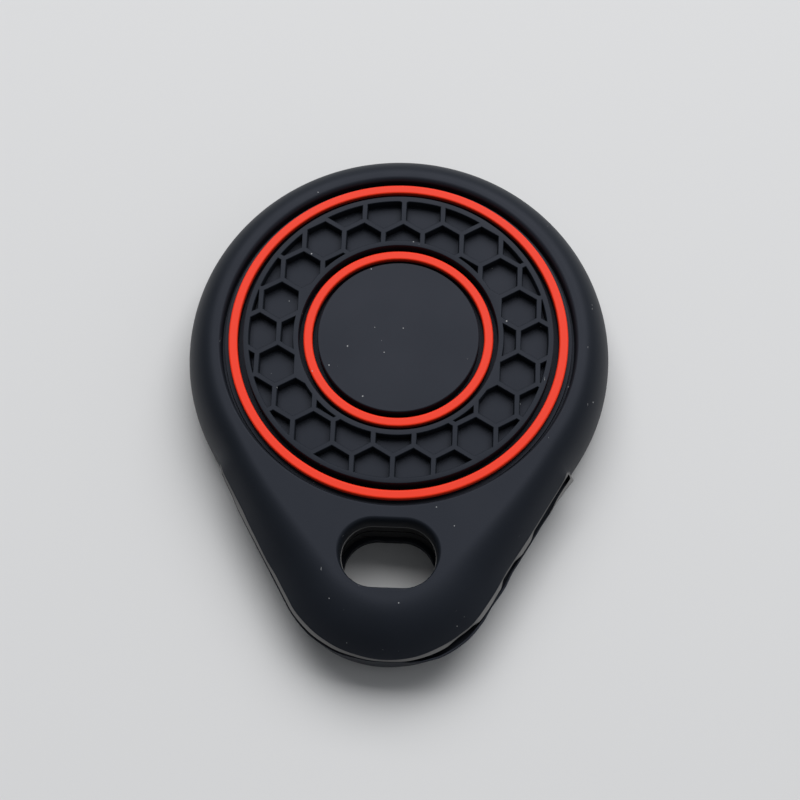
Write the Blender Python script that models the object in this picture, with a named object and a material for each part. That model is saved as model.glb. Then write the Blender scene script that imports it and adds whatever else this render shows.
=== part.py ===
"""Access card holder: a soft silicone sleeve over a teardrop access tag.

+Z points out of the decorated face and -Y towards the keyring end. The origin lies on the flat
back, under the middle of the rings. All sizes are in metres.
"""

import math

import bmesh
import bpy
from mathutils import Vector

# Clearances
SEAT_GAP = 0.0003
BOND_GAP = 0.0001
SEAM_GAP = 0.0002
TAG_CLEARANCE = 0.0003
SLIT_GAP = 0.0003

# Decorated face, from the middle outwards
PAD_RADIUS = 0.00714
PAD_GROOVE = 0.00044
RING_WIDTH = 0.0008
INNER_GROOVE = 0.0005
HONEYCOMB_WIDTH = 0.00482
OUTER_GROOVE = 0.0005
RECESS_CLEARANCE = 0.0004
RIM_ROLL = 0.0005
RIM_FLAT = 0.0004
RIM_ROUND = 0.0026

# Honeycomb
HEX_PITCH = 0.003525
RIB_WIDTH = 0.00047
HONEYCOMB_OUTER_RIM = 0.0005
HONEYCOMB_INNER_RIM = 0.0004
HONEYCOMB_BASE = 0.0004
RIB_HEIGHT = 0.0009
SMALLEST_CELL_SHARE = 0.06

# Heights, from the back upwards
BACK_WALL = 0.0011
TAG_THICKNESS = 0.0036
FRONT_WEB = 0.0006
RING_HEIGHT = 0.0010
PAD_HEIGHT = 0.00115
INLAY_EDGE = 0.00012
RIM_RISE = 0.0010
WAIST_HEIGHT = 0.0025
SLIT_HEIGHT = 0.00415

# Keyring end
HINGE_OFFSET = 0.0008
HOLE_WEB = 0.0008
HOLE_LENGTH = 0.0082
HOLE_WIDTH = 0.0056
BACK_HOLE_LENGTH = 0.0080
BACK_HOLE_WIDTH = 0.0059
NOSE_WEB = 0.0059
TIP_RADIUS = 0.0094
SLIT_REACH = 0.00485

# Sleeve walls
SIDE_WALL = 0.0020
BACK_ROUND = 0.0026

# Tag inside the sleeve
TAG_EDGE = 0.0010
TAG_WALL = 0.0012
TAG_SKIN = 0.0008
TAG_HOLE_STEP = 0.0003
HOLE_BOSS_WALL = 0.0010

# Coil and chip inside the tag
COIL_MARGIN = 0.0023
COIL_WIDTH = 0.0020
COIL_EDGE = 0.0003
FORMER_WALL = 0.0008
FORMER_HEIGHT = 0.0008
RIB_EDGE = 0.0001
BOARD_LENGTH = 0.0080
BOARD_WIDTH = 0.0050
BOARD_THICKNESS = 0.0005
BOARD_OFFSET = 0.0050
CAP_RADIUS = 0.0015
CAP_HEIGHT = 0.0006
JOINT_RADIUS = 0.0006
JOINT_HEIGHT = 0.00045
JOINT_INSET = 0.0010
LEAD_RADIUS = 0.00012
LEAD_LIFT = 0.00035
LEAD_ARCH = 0.00015

# Facets
ROUND_STEPS = 40
SIDE_STEPS = 7
TIP_STEPS = 14
RING_STEPS = 72
COIL_STEPS = 48
HOLE_END_STEPS = 9
SLEEVE_EDGE_STEPS = 5
TAG_EDGE_STEPS = 3
DOME_SIDES = 16
DOME_STEPS = 4
LEAD_STEPS = 6
SMOOTH_ANGLE = math.radians(35)

# Radii that follow from the widths
inner_ring_bore = PAD_RADIUS + PAD_GROOVE
inner_ring_radius = inner_ring_bore + RING_WIDTH
honeycomb_bore = inner_ring_radius + INNER_GROOVE
honeycomb_radius = honeycomb_bore + HONEYCOMB_WIDTH
outer_ring_bore = honeycomb_radius + OUTER_GROOVE
outer_ring_radius = outer_ring_bore + RING_WIDTH
recess_radius = outer_ring_radius + RECESS_CLEARANCE
rim_radius = recess_radius + RIM_ROLL
sleeve_radius = rim_radius + RIM_FLAT + RIM_ROUND

# Heights that follow
tag_bottom = BACK_WALL + TAG_CLEARANCE
tag_top = tag_bottom + TAG_THICKNESS
cavity_top = tag_top + TAG_CLEARANCE
recess_floor = cavity_top + FRONT_WEB
rim_top = recess_floor + RIM_RISE
inlay_bottom = recess_floor + SEAT_GAP
honeycomb_floor = inlay_bottom + HONEYCOMB_BASE
honeycomb_top = honeycomb_floor + RIB_HEIGHT

# Places along the keyring end
hinge_y = -(recess_radius + HINGE_OFFSET)
hole_y = hinge_y - HOLE_WEB - HOLE_WIDTH / 2
tip_y = hole_y - HOLE_WIDTH / 2 - NOSE_WEB
tip_centre_y = tip_y + TIP_RADIUS
slit_start_y = hinge_y + SLIT_REACH

# The tag and what it holds
tag_inset = SIDE_WALL + TAG_CLEARANCE
tag_floor = tag_bottom + TAG_SKIN
tag_roof = tag_top - TAG_SKIN
seam_height = (tag_bottom + tag_top) / 2
coil_radius = sleeve_radius - tag_inset - TAG_WALL - COIL_MARGIN
coil_bore = coil_radius - COIL_WIDTH
board_top = tag_floor + SEAT_GAP + BOARD_THICKNESS
bonded_height = board_top + BOND_GAP
joint_x = -BOARD_OFFSET - BOARD_WIDTH / 2 + JOINT_INSET
joint_y = BOARD_LENGTH / 2 - JOINT_INSET

# How far a cutter runs past the face that it opens
OVERRUN = 0.002


def clear_scene():
    """Remove every object, so that the part is alone."""
    for item in list(bpy.data.objects):
        bpy.data.objects.remove(item, do_unlink=True)


def make_material(name, colour, roughness, metallic=0.0):
    """A plain material of one colour."""
    material = bpy.data.materials.new(name)
    material.use_nodes = True
    shader = material.node_tree.nodes["Principled BSDF"]
    shader.inputs["Base Color"].default_value = (*colour, 1.0)
    shader.inputs["Roughness"].default_value = roughness
    shader.inputs["Metallic"].default_value = metallic
    material.diffuse_color = (*colour, 1.0)
    return material


def make_empty(name, place):
    """An empty that a group of pieces moves with."""
    empty = bpy.data.objects.new(name, None)
    empty.location = place
    bpy.context.scene.collection.objects.link(empty)
    return empty


def link_piece(name, data, material, parent):
    """Make data, drawn about its parent's place, an object under that parent."""
    piece = bpy.data.objects.new(name, data)
    bpy.context.scene.collection.objects.link(piece)
    piece.parent = parent
    data.materials.append(material)
    return piece


def make_piece(name, solid, material, parent):
    """Turn a solid drawn in the part's frame into a piece whose origin is its parent's place."""
    bmesh.ops.recalc_face_normals(solid, faces=solid.faces)
    bmesh.ops.translate(solid, verts=solid.verts, vec=-parent.location)
    mesh = bpy.data.meshes.new(name)
    solid.to_mesh(mesh)
    solid.free()
    mesh.shade_smooth()
    mesh.set_sharp_from_angle(angle=SMOOTH_ANGLE)
    return link_piece(name, mesh, material, parent)


def make_cutter(name, solid):
    """Turn a solid into a hidden guide for a Boolean."""
    bmesh.ops.recalc_face_normals(solid, faces=solid.faces)
    mesh = bpy.data.meshes.new(name)
    solid.to_mesh(mesh)
    solid.free()
    cutter = bpy.data.objects.new(name, mesh)
    bpy.context.scene.collection.objects.link(cutter)
    cutter.hide_render = True
    cutter.display_type = "WIRE"
    return cutter


def combine(piece, operation, cutter):
    """Add an exact Boolean to a piece."""
    modifier = piece.modifiers.new(cutter.name, "BOOLEAN")
    modifier.operation = operation
    modifier.solver = "EXACT"
    modifier.object = cutter


def arc(radius, centre_y, start, end, steps):
    """Points on an arc about a point of the Y axis, both ends included."""
    points = []
    for step in range(steps + 1):
        angle = start + (end - start) * step / steps
        points.append((radius * math.cos(angle), centre_y + radius * math.sin(angle)))
    return points


def between(first, last, steps):
    """Points that divide a straight line, without its ends."""
    points = []
    for step in range(1, steps):
        share = step / steps
        points.append(tuple(a + (b - a) * share for a, b in zip(first, last)))
    return points


def outline(inset):
    """The teardrop seen from above, drawn in by inset, anticlockwise."""
    slope = math.asin((sleeve_radius - TIP_RADIUS) / -tip_centre_y)
    left = math.pi + slope
    right = 2 * math.pi - slope
    round_end = arc(sleeve_radius - inset, 0.0, -slope, left, ROUND_STEPS)
    tip_end = arc(TIP_RADIUS - inset, tip_centre_y, left, right, TIP_STEPS)
    left_side = between(round_end[-1], tip_end[0], SIDE_STEPS)
    right_side = between(tip_end[-1], round_end[0], SIDE_STEPS)
    return round_end + left_side + tip_end + right_side


def facing_circle(radius):
    """A circle with a point in the direction of each point of the outline."""
    points = []
    for x, y in outline(0.0):
        scale = radius / math.hypot(x, y)
        points.append((x * scale, y * scale))
    return points


def circle(radius, steps=RING_STEPS):
    """A circle about the Z axis, anticlockwise."""
    return arc(radius, 0.0, 0.0, 2 * math.pi, steps)[:-1]


def stadium(length, width):
    """The keyring hole's shape, a slot with round ends, anticlockwise."""
    radius = width / 2
    half = length / 2 - radius
    points = []
    for x, y in arc(radius, hole_y, -math.pi / 2, math.pi / 2, HOLE_END_STEPS):
        points.append((x + half, y))
    for x, y in arc(radius, hole_y, math.pi / 2, 3 * math.pi / 2, HOLE_END_STEPS):
        points.append((x - half, y))
    return points


def rounded_rows(inset, face, width, height, steps):
    """Rows that round a flat face off into the side wall, from the face outwards.

    face is the height of the flat, and height is negative where the rounding runs down from it.
    """
    rows = []
    for step in range(steps + 1):
        turn = math.radians(90.0 * step / steps)
        points = outline(inset + width * (1 - math.sin(turn)))
        rows.append((points, face + height * (1 - math.cos(turn))))
    return rows


def add_loft(solid, rows, ring=False):
    """Add a skin through rows of points, closed by flat ends or, for a ring, on itself."""
    loops = []
    for points, height in rows:
        loops.append([solid.verts.new((x, y, height)) for x, y in points])
    pairs = list(zip(loops, loops[1:]))
    if ring:
        pairs.append((loops[-1], loops[0]))
    else:
        solid.faces.new(reversed(loops[0]))
        solid.faces.new(loops[-1])
    for lower, upper in pairs:
        for k in range(len(lower)):
            n = (k + 1) % len(lower)
            solid.faces.new((lower[k], lower[n], upper[n], upper[k]))


def loft(rows, ring=False):
    """A solid through rows of points."""
    solid = bmesh.new()
    add_loft(solid, rows, ring)
    return solid


def prism(points, bottom, top):
    """An upright prism."""
    return loft([(points, bottom), (points, top)])


def turned_ring(bore, radius, bottom, top, edge, steps=RING_STEPS):
    """A ring of rectangular section with its upper edges taken off by edge."""
    profile = [
        (radius, bottom),
        (radius, top - edge),
        (radius - edge, top),
        (bore + edge, top),
        (bore, top - edge),
        (bore, bottom),
    ]
    return loft([(circle(r, steps), z) for r, z in profile], ring=True)


def side_prism(profile, half_width):
    """A prism along X over a profile of (y, z) points."""
    solid = bmesh.new()
    left = [solid.verts.new((-half_width, y, z)) for y, z in profile]
    right = [solid.verts.new((half_width, y, z)) for y, z in profile]
    solid.faces.new(reversed(left))
    solid.faces.new(right)
    for k in range(len(profile)):
        n = (k + 1) % len(profile)
        solid.faces.new((left[k], left[n], right[n], right[k]))
    return solid


def dome(x, y, bottom, radius, height):
    """A flat-bottomed drop."""
    rows = []
    for step in range(DOME_STEPS):
        turn = math.radians(90.0 * step / DOME_STEPS)
        points = circle(radius * math.cos(turn), DOME_SIDES)
        rows.append(([(x + a, y + b) for a, b in points], bottom + height * math.sin(turn)))
    return loft(rows)


def sleeve_skin():
    """The sleeve's outside as a full solid, with the recess for the rings in its face."""
    roll = min(RIM_ROLL, RIM_RISE)
    rows = rounded_rows(0.0, 0.0, BACK_ROUND, WAIST_HEIGHT, SLEEVE_EDGE_STEPS)
    crown = rounded_rows(0.0, rim_top, RIM_ROUND, WAIST_HEIGHT - rim_top, SLEEVE_EDGE_STEPS)
    rows += crown[-2::-1]
    for degrees in (0, 45, 90):
        turn = math.radians(degrees)
        radius = recess_radius + RIM_ROLL * (1 - math.sin(turn))
        rows.append((facing_circle(radius), rim_top - roll * (1 - math.cos(turn))))
    rows.append((facing_circle(recess_radius), recess_floor))
    return loft(rows)


def cavity_cutter():
    """The room for the tag."""
    edge = TAG_EDGE + TAG_CLEARANCE
    floor = rounded_rows(SIDE_WALL, BACK_WALL, edge, edge, TAG_EDGE_STEPS)
    roof = rounded_rows(SIDE_WALL, cavity_top, edge, -edge, TAG_EDGE_STEPS)
    return make_cutter("cavity_cutter", loft(floor + roof[::-1]))


def hole_cutter(name, length, width, bottom, top):
    """A cutter for the keyring hole."""
    return make_cutter(name, prism(stadium(length, width), bottom, top))


def make_sleeve(material, frame, hinge):
    """The sleeve and the flap of its front skin, parted by the slit and the bending line."""
    slit_bottom = SLIT_HEIGHT - SLIT_GAP / 2
    slit_top = SLIT_HEIGHT + SLIT_GAP / 2
    above = rim_top + OVERRUN
    beyond = tip_y - OVERRUN
    half_width = sleeve_radius + OVERRUN
    mouth = [
        (slit_start_y, slit_bottom),
        (slit_start_y, slit_top),
        (hinge_y + SLIT_GAP, slit_top),
        (hinge_y + SLIT_GAP, above),
        (beyond, above),
        (beyond, slit_bottom),
    ]
    flap = [
        (hinge_y, slit_top),
        (hinge_y, above),
        (beyond, above),
        (beyond, slit_top),
    ]
    cavity = cavity_cutter()
    back_size = (BACK_HOLE_LENGTH, BACK_HOLE_WIDTH)
    back_hole = hole_cutter("back_hole_cutter", *back_size, -OVERRUN, slit_top)
    front_hole = hole_cutter("front_hole_cutter", HOLE_LENGTH, HOLE_WIDTH, slit_bottom, above)

    body = make_piece("sleeve_body", sleeve_skin(), material, frame)
    combine(body, "DIFFERENCE", cavity)
    combine(body, "DIFFERENCE", make_cutter("mouth_cutter", side_prism(mouth, half_width)))
    combine(body, "DIFFERENCE", back_hole)

    lip = make_piece("mouth_lip", sleeve_skin(), material, hinge)
    combine(lip, "DIFFERENCE", cavity)
    combine(lip, "INTERSECT", make_cutter("flap_guide", side_prism(flap, half_width)))
    combine(lip, "DIFFERENCE", front_hole)


def make_rings(material, frame):
    """The two coloured rings in the recess."""
    places = {"inner_ring": inner_ring_bore, "outer_ring": outer_ring_bore}
    for name, bore in places.items():
        top = inlay_bottom + RING_HEIGHT
        solid = turned_ring(bore, bore + RING_WIDTH, inlay_bottom, top, INLAY_EDGE)
        make_piece(name, solid, material, frame)


def make_pad(material, frame):
    """The smooth disc in the middle."""
    top = inlay_bottom + PAD_HEIGHT
    rows = [
        (circle(PAD_RADIUS), inlay_bottom),
        (circle(PAD_RADIUS), top - INLAY_EDGE),
        (circle(PAD_RADIUS - INLAY_EDGE), top),
    ]
    make_piece("centre_pad", loft(rows), material, frame)


def cell_is_open(x, y, corner, inner, outer):
    """Whether enough of a hexagon about (x, y) lies between the two rims to be a cell."""
    inside = 0
    samples = 0
    for ring in range(1, 5):
        for spoke in range(12):
            angle = math.radians(30.0 * spoke)
            reach = corner * ring / 4
            distance = math.hypot(x + reach * math.cos(angle), y + reach * math.sin(angle))
            samples += 1
            inside += inner < distance < outer
    return inside > SMALLEST_CELL_SHARE * samples


def cell_cutters(inner, outer):
    """Hexagonal prisms on the honeycomb's grid, trimmed to the band between the rims."""
    corner = (HEX_PITCH - RIB_WIDTH) / math.sqrt(3)
    row_pitch = HEX_PITCH * math.sqrt(3) / 2
    top = honeycomb_top + OVERRUN
    cells = bmesh.new()
    rows = math.ceil(outer / row_pitch)
    columns = math.ceil(outer / HEX_PITCH) + 1
    for row in range(-rows, rows + 1):
        shift = 0.0 if row % 2 else 0.5
        for column in range(-columns, columns + 1):
            x = (column + shift) * HEX_PITCH
            y = row * row_pitch
            if cell_is_open(x, y, corner, inner, outer):
                hexagon = []
                for side in range(6):
                    angle = math.radians(30.0 + 60.0 * side)
                    hexagon.append((x + corner * math.cos(angle), y + corner * math.sin(angle)))
                add_loft(cells, [(hexagon, honeycomb_floor), (hexagon, top)])
    cutter = make_cutter("cell_cutters", cells)
    band = turned_ring(inner, outer, honeycomb_floor - OVERRUN, top + OVERRUN, INLAY_EDGE)
    combine(cutter, "INTERSECT", make_cutter("cell_band", band))
    return cutter


def make_honeycomb(material, frame):
    """The honeycomb, a band of hexagonal pockets between two thin rims."""
    inner = honeycomb_bore + HONEYCOMB_INNER_RIM
    outer = honeycomb_radius - HONEYCOMB_OUTER_RIM
    solid = turned_ring(honeycomb_bore, honeycomb_radius, inlay_bottom, honeycomb_top, INLAY_EDGE)
    piece = make_piece("honeycomb_ring", solid, material, frame)
    combine(piece, "DIFFERENCE", cell_cutters(inner, outer))


def make_tag_case(name, rows, pocket, ribs, material, parent):
    """Half of the tag's case: a shell with a pocket, raised ribs and the keyring hole."""
    piece = make_piece(name, loft(rows), material, parent)
    combine(piece, "DIFFERENCE", make_cutter(name + "_pocket", pocket))
    for number, rib in enumerate(ribs, start=1):
        combine(piece, "UNION", make_cutter(f"{name}_rib_{number}", rib))
    size = (HOLE_LENGTH + 2 * TAG_HOLE_STEP, HOLE_WIDTH + 2 * TAG_HOLE_STEP)
    hole = hole_cutter(name + "_hole", *size, tag_bottom - OVERRUN, tag_top + OVERRUN)
    combine(piece, "DIFFERENCE", hole)


def make_tag_cases(material, parent):
    """The two halves of the tag's case, which meet at the seam."""
    wall = outline(tag_inset)
    inside = outline(tag_inset + TAG_WALL)
    boss_step = TAG_HOLE_STEP + HOLE_BOSS_WALL
    boss = stadium(HOLE_LENGTH + 2 * boss_step, HOLE_WIDTH + 2 * boss_step)
    back_seam = seam_height - SEAM_GAP / 2
    front_seam = seam_height + SEAM_GAP / 2
    rooted = TAG_SKIN / 2
    former_radius = coil_bore - SEAT_GAP
    former_bore = former_radius - FORMER_WALL
    former_top = tag_floor + FORMER_HEIGHT

    back_rows = rounded_rows(tag_inset, tag_bottom, TAG_EDGE, TAG_EDGE, TAG_EDGE_STEPS)
    back_rows.append((wall, back_seam))
    former = turned_ring(former_bore, former_radius, tag_floor - rooted, former_top, RIB_EDGE, COIL_STEPS)
    back_ribs = [prism(boss, tag_floor - rooted, back_seam), former]
    back_pocket = prism(inside, tag_floor, seam_height + OVERRUN)
    make_tag_case("tag_back_case", back_rows, back_pocket, back_ribs, material, parent)

    front_rows = rounded_rows(tag_inset, tag_top, TAG_EDGE, -TAG_EDGE, TAG_EDGE_STEPS)
    front_rows.append((wall, front_seam))
    front_rows.reverse()
    front_ribs = [prism(boss, front_seam, tag_roof + rooted)]
    front_pocket = prism(inside, seam_height - OVERRUN, tag_roof)
    make_tag_case("tag_front_case", front_rows, front_pocket, front_ribs, material, parent)


def make_coil(material, parent):
    """The flat copper coil around its former."""
    bottom = tag_floor + SEAT_GAP
    top = tag_roof - SEAT_GAP
    solid = turned_ring(coil_bore, coil_radius, bottom, top, COIL_EDGE, COIL_STEPS)
    make_piece("antenna_coil", solid, material, parent)


def make_board(material, parent):
    """The small board inside the coil."""
    left = -BOARD_OFFSET - BOARD_WIDTH / 2
    right = -BOARD_OFFSET + BOARD_WIDTH / 2
    half = BOARD_LENGTH / 2
    corners = [(left, -half), (right, -half), (right, half), (left, half)]
    make_piece("chip_board", prism(corners, board_top - BOARD_THICKNESS, board_top), material, parent)


def make_chip_cap(material, parent):
    """The hard drop over the chip."""
    solid = dome(-BOARD_OFFSET, 0.0, bonded_height, CAP_RADIUS, CAP_HEIGHT)
    make_piece("chip_cap", solid, material, parent)


def make_solder_joints(material, parent):
    """The two joints where the coil's ends meet the board."""
    for name, side in (("solder_joint_a", -1), ("solder_joint_b", 1)):
        solid = dome(joint_x, side * joint_y, bonded_height, JOINT_RADIUS, JOINT_HEIGHT)
        make_piece(name, solid, material, parent)


def make_coil_leads(material, parent):
    """The coil's two ends, which run in over the former to the joints."""
    coil_x = -math.sqrt(coil_bore**2 - joint_y**2)
    start = coil_x + BOND_GAP + LEAD_RADIUS
    end = joint_x - JOINT_RADIUS - BOND_GAP
    for name, side in (("coil_lead_a", -1), ("coil_lead_b", 1)):
        curve = bpy.data.curves.new(name, "CURVE")
        curve.dimensions = "3D"
        curve.bevel_depth = LEAD_RADIUS
        curve.bevel_resolution = 2
        curve.use_fill_caps = True
        spline = curve.splines.new("POLY")
        spline.points.add(LEAD_STEPS)
        for step in range(LEAD_STEPS + 1):
            share = step / LEAD_STEPS
            arch = LEAD_ARCH * math.sin(math.pi * share)
            place = Vector((start + (end - start) * share, side * joint_y, board_top + LEAD_LIFT + arch))
            spline.points[step].co = (*(place - parent.location), 1.0)
        link_piece(name, curve, material, parent)


def main():
    """Build the holder with its tag in place and its mouth shut."""
    clear_scene()
    silicone = make_material("black_silicone", (0.022, 0.024, 0.029), 0.55)
    orange = make_material("orange_silicone", (0.88, 0.085, 0.055), 0.5)
    gloss = make_material("smooth_black_silicone", (0.030, 0.033, 0.040), 0.38)
    plastic = make_material("black_tag_plastic", (0.018, 0.018, 0.020), 0.45)
    copper = make_material("copper", (0.72, 0.32, 0.16), 0.35, 1.0)
    board = make_material("green_board", (0.02, 0.12, 0.05), 0.5)
    resin = make_material("black_resin", (0.01, 0.01, 0.012), 0.3)
    solder = make_material("solder", (0.62, 0.62, 0.60), 0.3, 1.0)

    frame = make_empty("sleeve_frame", (0.0, 0.0, 0.0))
    hinge = make_empty("lip_hinge", (0.0, hinge_y, rim_top))
    slide = make_empty("tag_slide", (0.0, 0.0, seam_height))

    make_sleeve(silicone, frame, hinge)
    make_rings(orange, frame)
    make_honeycomb(silicone, frame)
    make_pad(gloss, frame)
    make_tag_cases(plastic, slide)
    make_coil(copper, slide)
    make_board(board, slide)
    make_chip_cap(resin, slide)
    make_solder_joints(solder, slide)
    make_coil_leads(copper, slide)


main()
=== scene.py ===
"""Looks of the access card holder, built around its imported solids.

+Z points out of the decorated face and -Y towards the keyring end. Pieces are drawn in millimetres
and turned into metres when they become objects.
"""

import math

import bmesh
import bpy
import numpy as np
from mathutils import Matrix, Vector
from mathutils.geometry import delaunay_2d_cdt


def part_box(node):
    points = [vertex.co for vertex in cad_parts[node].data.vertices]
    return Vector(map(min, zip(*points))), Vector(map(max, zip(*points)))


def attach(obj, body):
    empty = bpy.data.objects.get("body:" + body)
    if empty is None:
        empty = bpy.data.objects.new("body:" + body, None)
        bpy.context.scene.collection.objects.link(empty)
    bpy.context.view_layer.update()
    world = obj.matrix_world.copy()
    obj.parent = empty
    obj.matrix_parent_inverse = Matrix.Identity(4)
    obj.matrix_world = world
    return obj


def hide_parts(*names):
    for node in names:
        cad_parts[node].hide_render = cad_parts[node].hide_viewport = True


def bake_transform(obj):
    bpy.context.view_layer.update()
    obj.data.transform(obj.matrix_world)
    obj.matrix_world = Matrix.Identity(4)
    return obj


MM = 0.001

# Sleeve seen from above
TIP_RADIUS = 9.4
SLIT_REACH = 4.85
HOLE_WEB = 0.8
HOLE_LENGTH = 8.2
HOLE_WIDTH = 5.6
BACK_HOLE_LENGTH = 8.0
BACK_HOLE_WIDTH = 5.9

# Sleeve in section
WAIST_HEIGHT = 2.5
CROWN_WIDTH = 2.6
NOSE_CROWN_WIDTH = 4.7
NOSE_START_Y = -12.0
BACK_ROUND = 2.6
BACK_WALL = 1.1
SIDE_WALL = 2.0
CAVITY_EDGE = 1.3
ROOF_HEIGHT = 5.3
RECESS_FLOOR = 5.95
RING_CLEARANCE = 0.02
LEDGE_HEIGHT = 6.43
LEDGE_WIDTH = 0.35
GUTTER_WIDTH = 0.3
GUTTER_DEPTH = 0.5
GUTTER_SLOPE = 0.17
GUTTER_CLOSING = 0.9
LEAST_GUTTER = 0.1
RIM_ROLL_WIDTH = 0.34
RIM_ROLL_CHANGE = 0.4
RIM_ROLL_DEPTH = 0.42
FACE_MARGIN = 0.1
HOLE_ROLL_WIDTH = 0.5
HOLE_ROLL_WIDTH_BELOW = 0.26
HOLE_ROLL_CHANGE = 1.4
HOLE_ROLL_DEPTH = 1.3
# The small step at the foot of the keyring hole's roll is painted pale, a painted highlight line.
HOLE_HIGHLIGHT_STEP = 0.05
BACK_HOLE_ROUND = 0.25

# Mouth, where the slit parts the front skin from the back. FLARE says which share of the rim's
# flare the tray's wall takes at each height.
PARTING_HEIGHT = 4.0
SEAM_STRIP = 0.05
SLIT_ROOM = 0.3
LIP_HEIGHT = 4.25
LIP_CUT_HEIGHT = 4.45
HALF_OPEN = 0.5
SPREAD_POWER = 3
LEAST_TURN = 0.01
GROOVE_SLOPE = 0.05
GROOVE_DEPTH = 1.0
FLARE = ((1.0, 0.0), (2.6, 0.25), (4.0, 1.0))
FLARE_LOOPS = (3.7, 3.4, 3.0)

# Shares run along the mouth from the slit's right end, round the tip, to its left end. The openings
# and the spread go from 0, closed, to 1. The lip's corner and edge and the tray's rim say how far
# out of the sleeve's edge they stand. RIM_TURN is the rounding of that rim and SHELF_WIDTH the flat
# strip inside it. Up to PALE_RIM_SHARE the rim is pale grey: partly the duller cut, partly a painted
# highlight along its edge.
PALE_RIM_SHARE = 0.075
MOUTH_OPENING = ((-0.014, 0.0), (-0.005, 1.0), (0.985, 1.0), (1.02, 0.0))
TRAY_OPENING = ((-0.014, 0.0), (-0.004, 1.0), (0.985, 1.0), (1.006, 0.0))
CROWN_SPREAD = ((-0.022, 0.0), (0.014, 1.0), (0.975, 1.0), (1.03, 0.0))
RIM_TURN = ((0.0, 0.07), (0.025, 0.07), (0.07, 0.012), (0.12, 0.07))
SHELF_WIDTH = (
    (-0.01, 0.25),
    (0.02, 0.17),
    (0.07, 0.008),
    (0.12, 0.02),
    (0.2, 0.04),
    (0.26, 0.1),
    (0.4, 0.1),
    (0.46, 0.03),
)
LIP_CORNER = (
    (0.0, -0.05),
    (0.04, -0.02),
    (0.1, 0.02),
    (0.14, 0.05),
    (0.2, 0.0),
    (0.26, 0.12),
    (0.32, 0.06),
    (0.36, -0.08),
    (0.4, -0.13),
    (0.45, -0.08),
    (0.5, -0.09),
    (0.55, -0.13),
    (0.6, -0.08),
    (0.65, -0.02),
    (0.7, 0.09),
    (0.76, 0.1),
    (0.8, 0.2),
    (0.86, 0.16),
    (0.91, 0.08),
    (1.0, 0.08),
)
LIP_EDGE = (
    (0.0, -0.01),
    (0.04, 0.02),
    (0.115, 0.08),
    (0.14, 0.31),
    (0.165, 0.31),
    (0.19, 0.07),
    (0.222, 0.08),
    (0.245, 0.34),
    (0.28, 0.38),
    (0.31, 0.34),
    (0.33, 0.1),
    (0.36, 0.0),
    (0.39, 0.12),
    (0.45, 0.1),
    (0.5, 0.0),
    (0.55, 0.02),
    (0.6, 0.14),
    (0.65, 0.24),
    (0.7, 0.32),
    (0.76, 0.32),
    (0.8, 0.36),
    (0.9, 0.38),
    (0.95, 0.26),
    (1.0, 0.15),
)
TRAY_RIM = (
    (-0.004, 0.6),
    (0.004, 0.57),
    (0.02, 0.5),
    (0.05, 0.41),
    (0.09, 0.38),
    (0.14, 0.42),
    (0.2, 0.42),
    (0.24, 0.58),
    (0.28, 0.5),
    (0.31, 0.58),
    (0.35, 0.66),
    (0.4, 0.62),
    (0.43, 0.45),
    (0.45, 0.25),
    (0.47, 0.06),
    (0.485, 0.01),
    (0.5, 0.0),
    (0.54, 0.05),
    (0.6, 0.28),
    (0.65, 0.38),
    (0.72, 0.42),
    (0.8, 0.42),
    (0.9, 0.42),
    (0.95, 0.28),
    (1.0, 0.18),
)

# Honeycomb
HEX_PITCH = 3.525
RIB_WIDTH = 0.47
HONEYCOMB_OUTER_RIM = 0.5
HONEYCOMB_INNER_RIM = 0.5
CELL_DEPTH = 0.9
CELL_BEVEL = 0.05
CELL_DRAFT = 0.06
SMALLEST_CELL_SHARE = 0.05
SHARPEST_MITRE = 0.5

# Inlays and tag. HOLD is the width of the band that keeps the shading of a flat face flat beside
# its rounded edge.
INLAY_FOOT = 0.02
RING_EDGE = 0.14
PAD_EDGE = 0.1
HONEYCOMB_EDGE = 0.06
RING_WIDTH = 0.8
RING_COLOUR_DEPTH = 0.47
INNER_GROOVE = 0.43
HOLD = 0.02
TAG_EDGE = 1.0
TAG_WALL = 1.2
TAG_SKIN = 0.8
TAG_INSET = 2.3
TAG_HOLE_STEP = 0.3
TAG_HOLE_ROUND = 0.25
HOLE_BOSS_WALL = 1.0
COIL_WIDTH = 2.0
COIL_CLEARANCE = 0.3
FORMER_WALL = 0.8
FORMER_HEIGHT = 0.8
SEAM_CHAMFER = 0.08

# Facets. POINT_CLEARANCE is a share of the spacing.
ROUND_STEPS = 150
SIDE_STEPS = 96
TIP_STEPS = 64
CROWN_STEPS = 22
BACK_STEPS = 16
ROLL_STEPS = 8
CAVITY_STEPS = 6
HOLE_END_STEPS = 28
HOLE_SIDE_STEPS = 8
RING_STEPS = 288
FORMER_STEPS = 96
EDGE_STEPS = 4
ARC_STEP = 0.3
FACE_SPACING = 0.45
POINT_CLEARANCE = 0.7
SMOOTH_ANGLE = math.radians(40)
MERGE_DISTANCE = 1e-5

# Colours
SILICONE_COLOUR = (0.0108, 0.0134, 0.0184)
SATIN_COLOUR = (0.009, 0.0111, 0.0153)
# Pale grey for cut faces and thin edges: partly the duller cut, partly a painted highlight.
CUT_AND_HIGHLIGHT_COLOUR = (0.17, 0.17, 0.172)
ORANGE_COLOUR = (0.87, 0.04, 0.012)
PLASTIC_COLOUR = (0.007, 0.007, 0.008)
RESIN_COLOUR = (0.01, 0.01, 0.012)
BOARD_COLOUR = (0.02, 0.12, 0.05)
COPPER_COLOUR = (0.72, 0.32, 0.16)
SOLDER_COLOUR = (0.62, 0.62, 0.6)
LINT_COLOUR = (0.35, 0.36, 0.37)
PLAIN_GLOSS = (1.0, 1.0, 1.0)
# The silicone's gloss is tinted blue: painted colour for the bluish light its sheen reflects.
SILICONE_GLOSS = (0.76, 0.81, 1.0)
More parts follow.
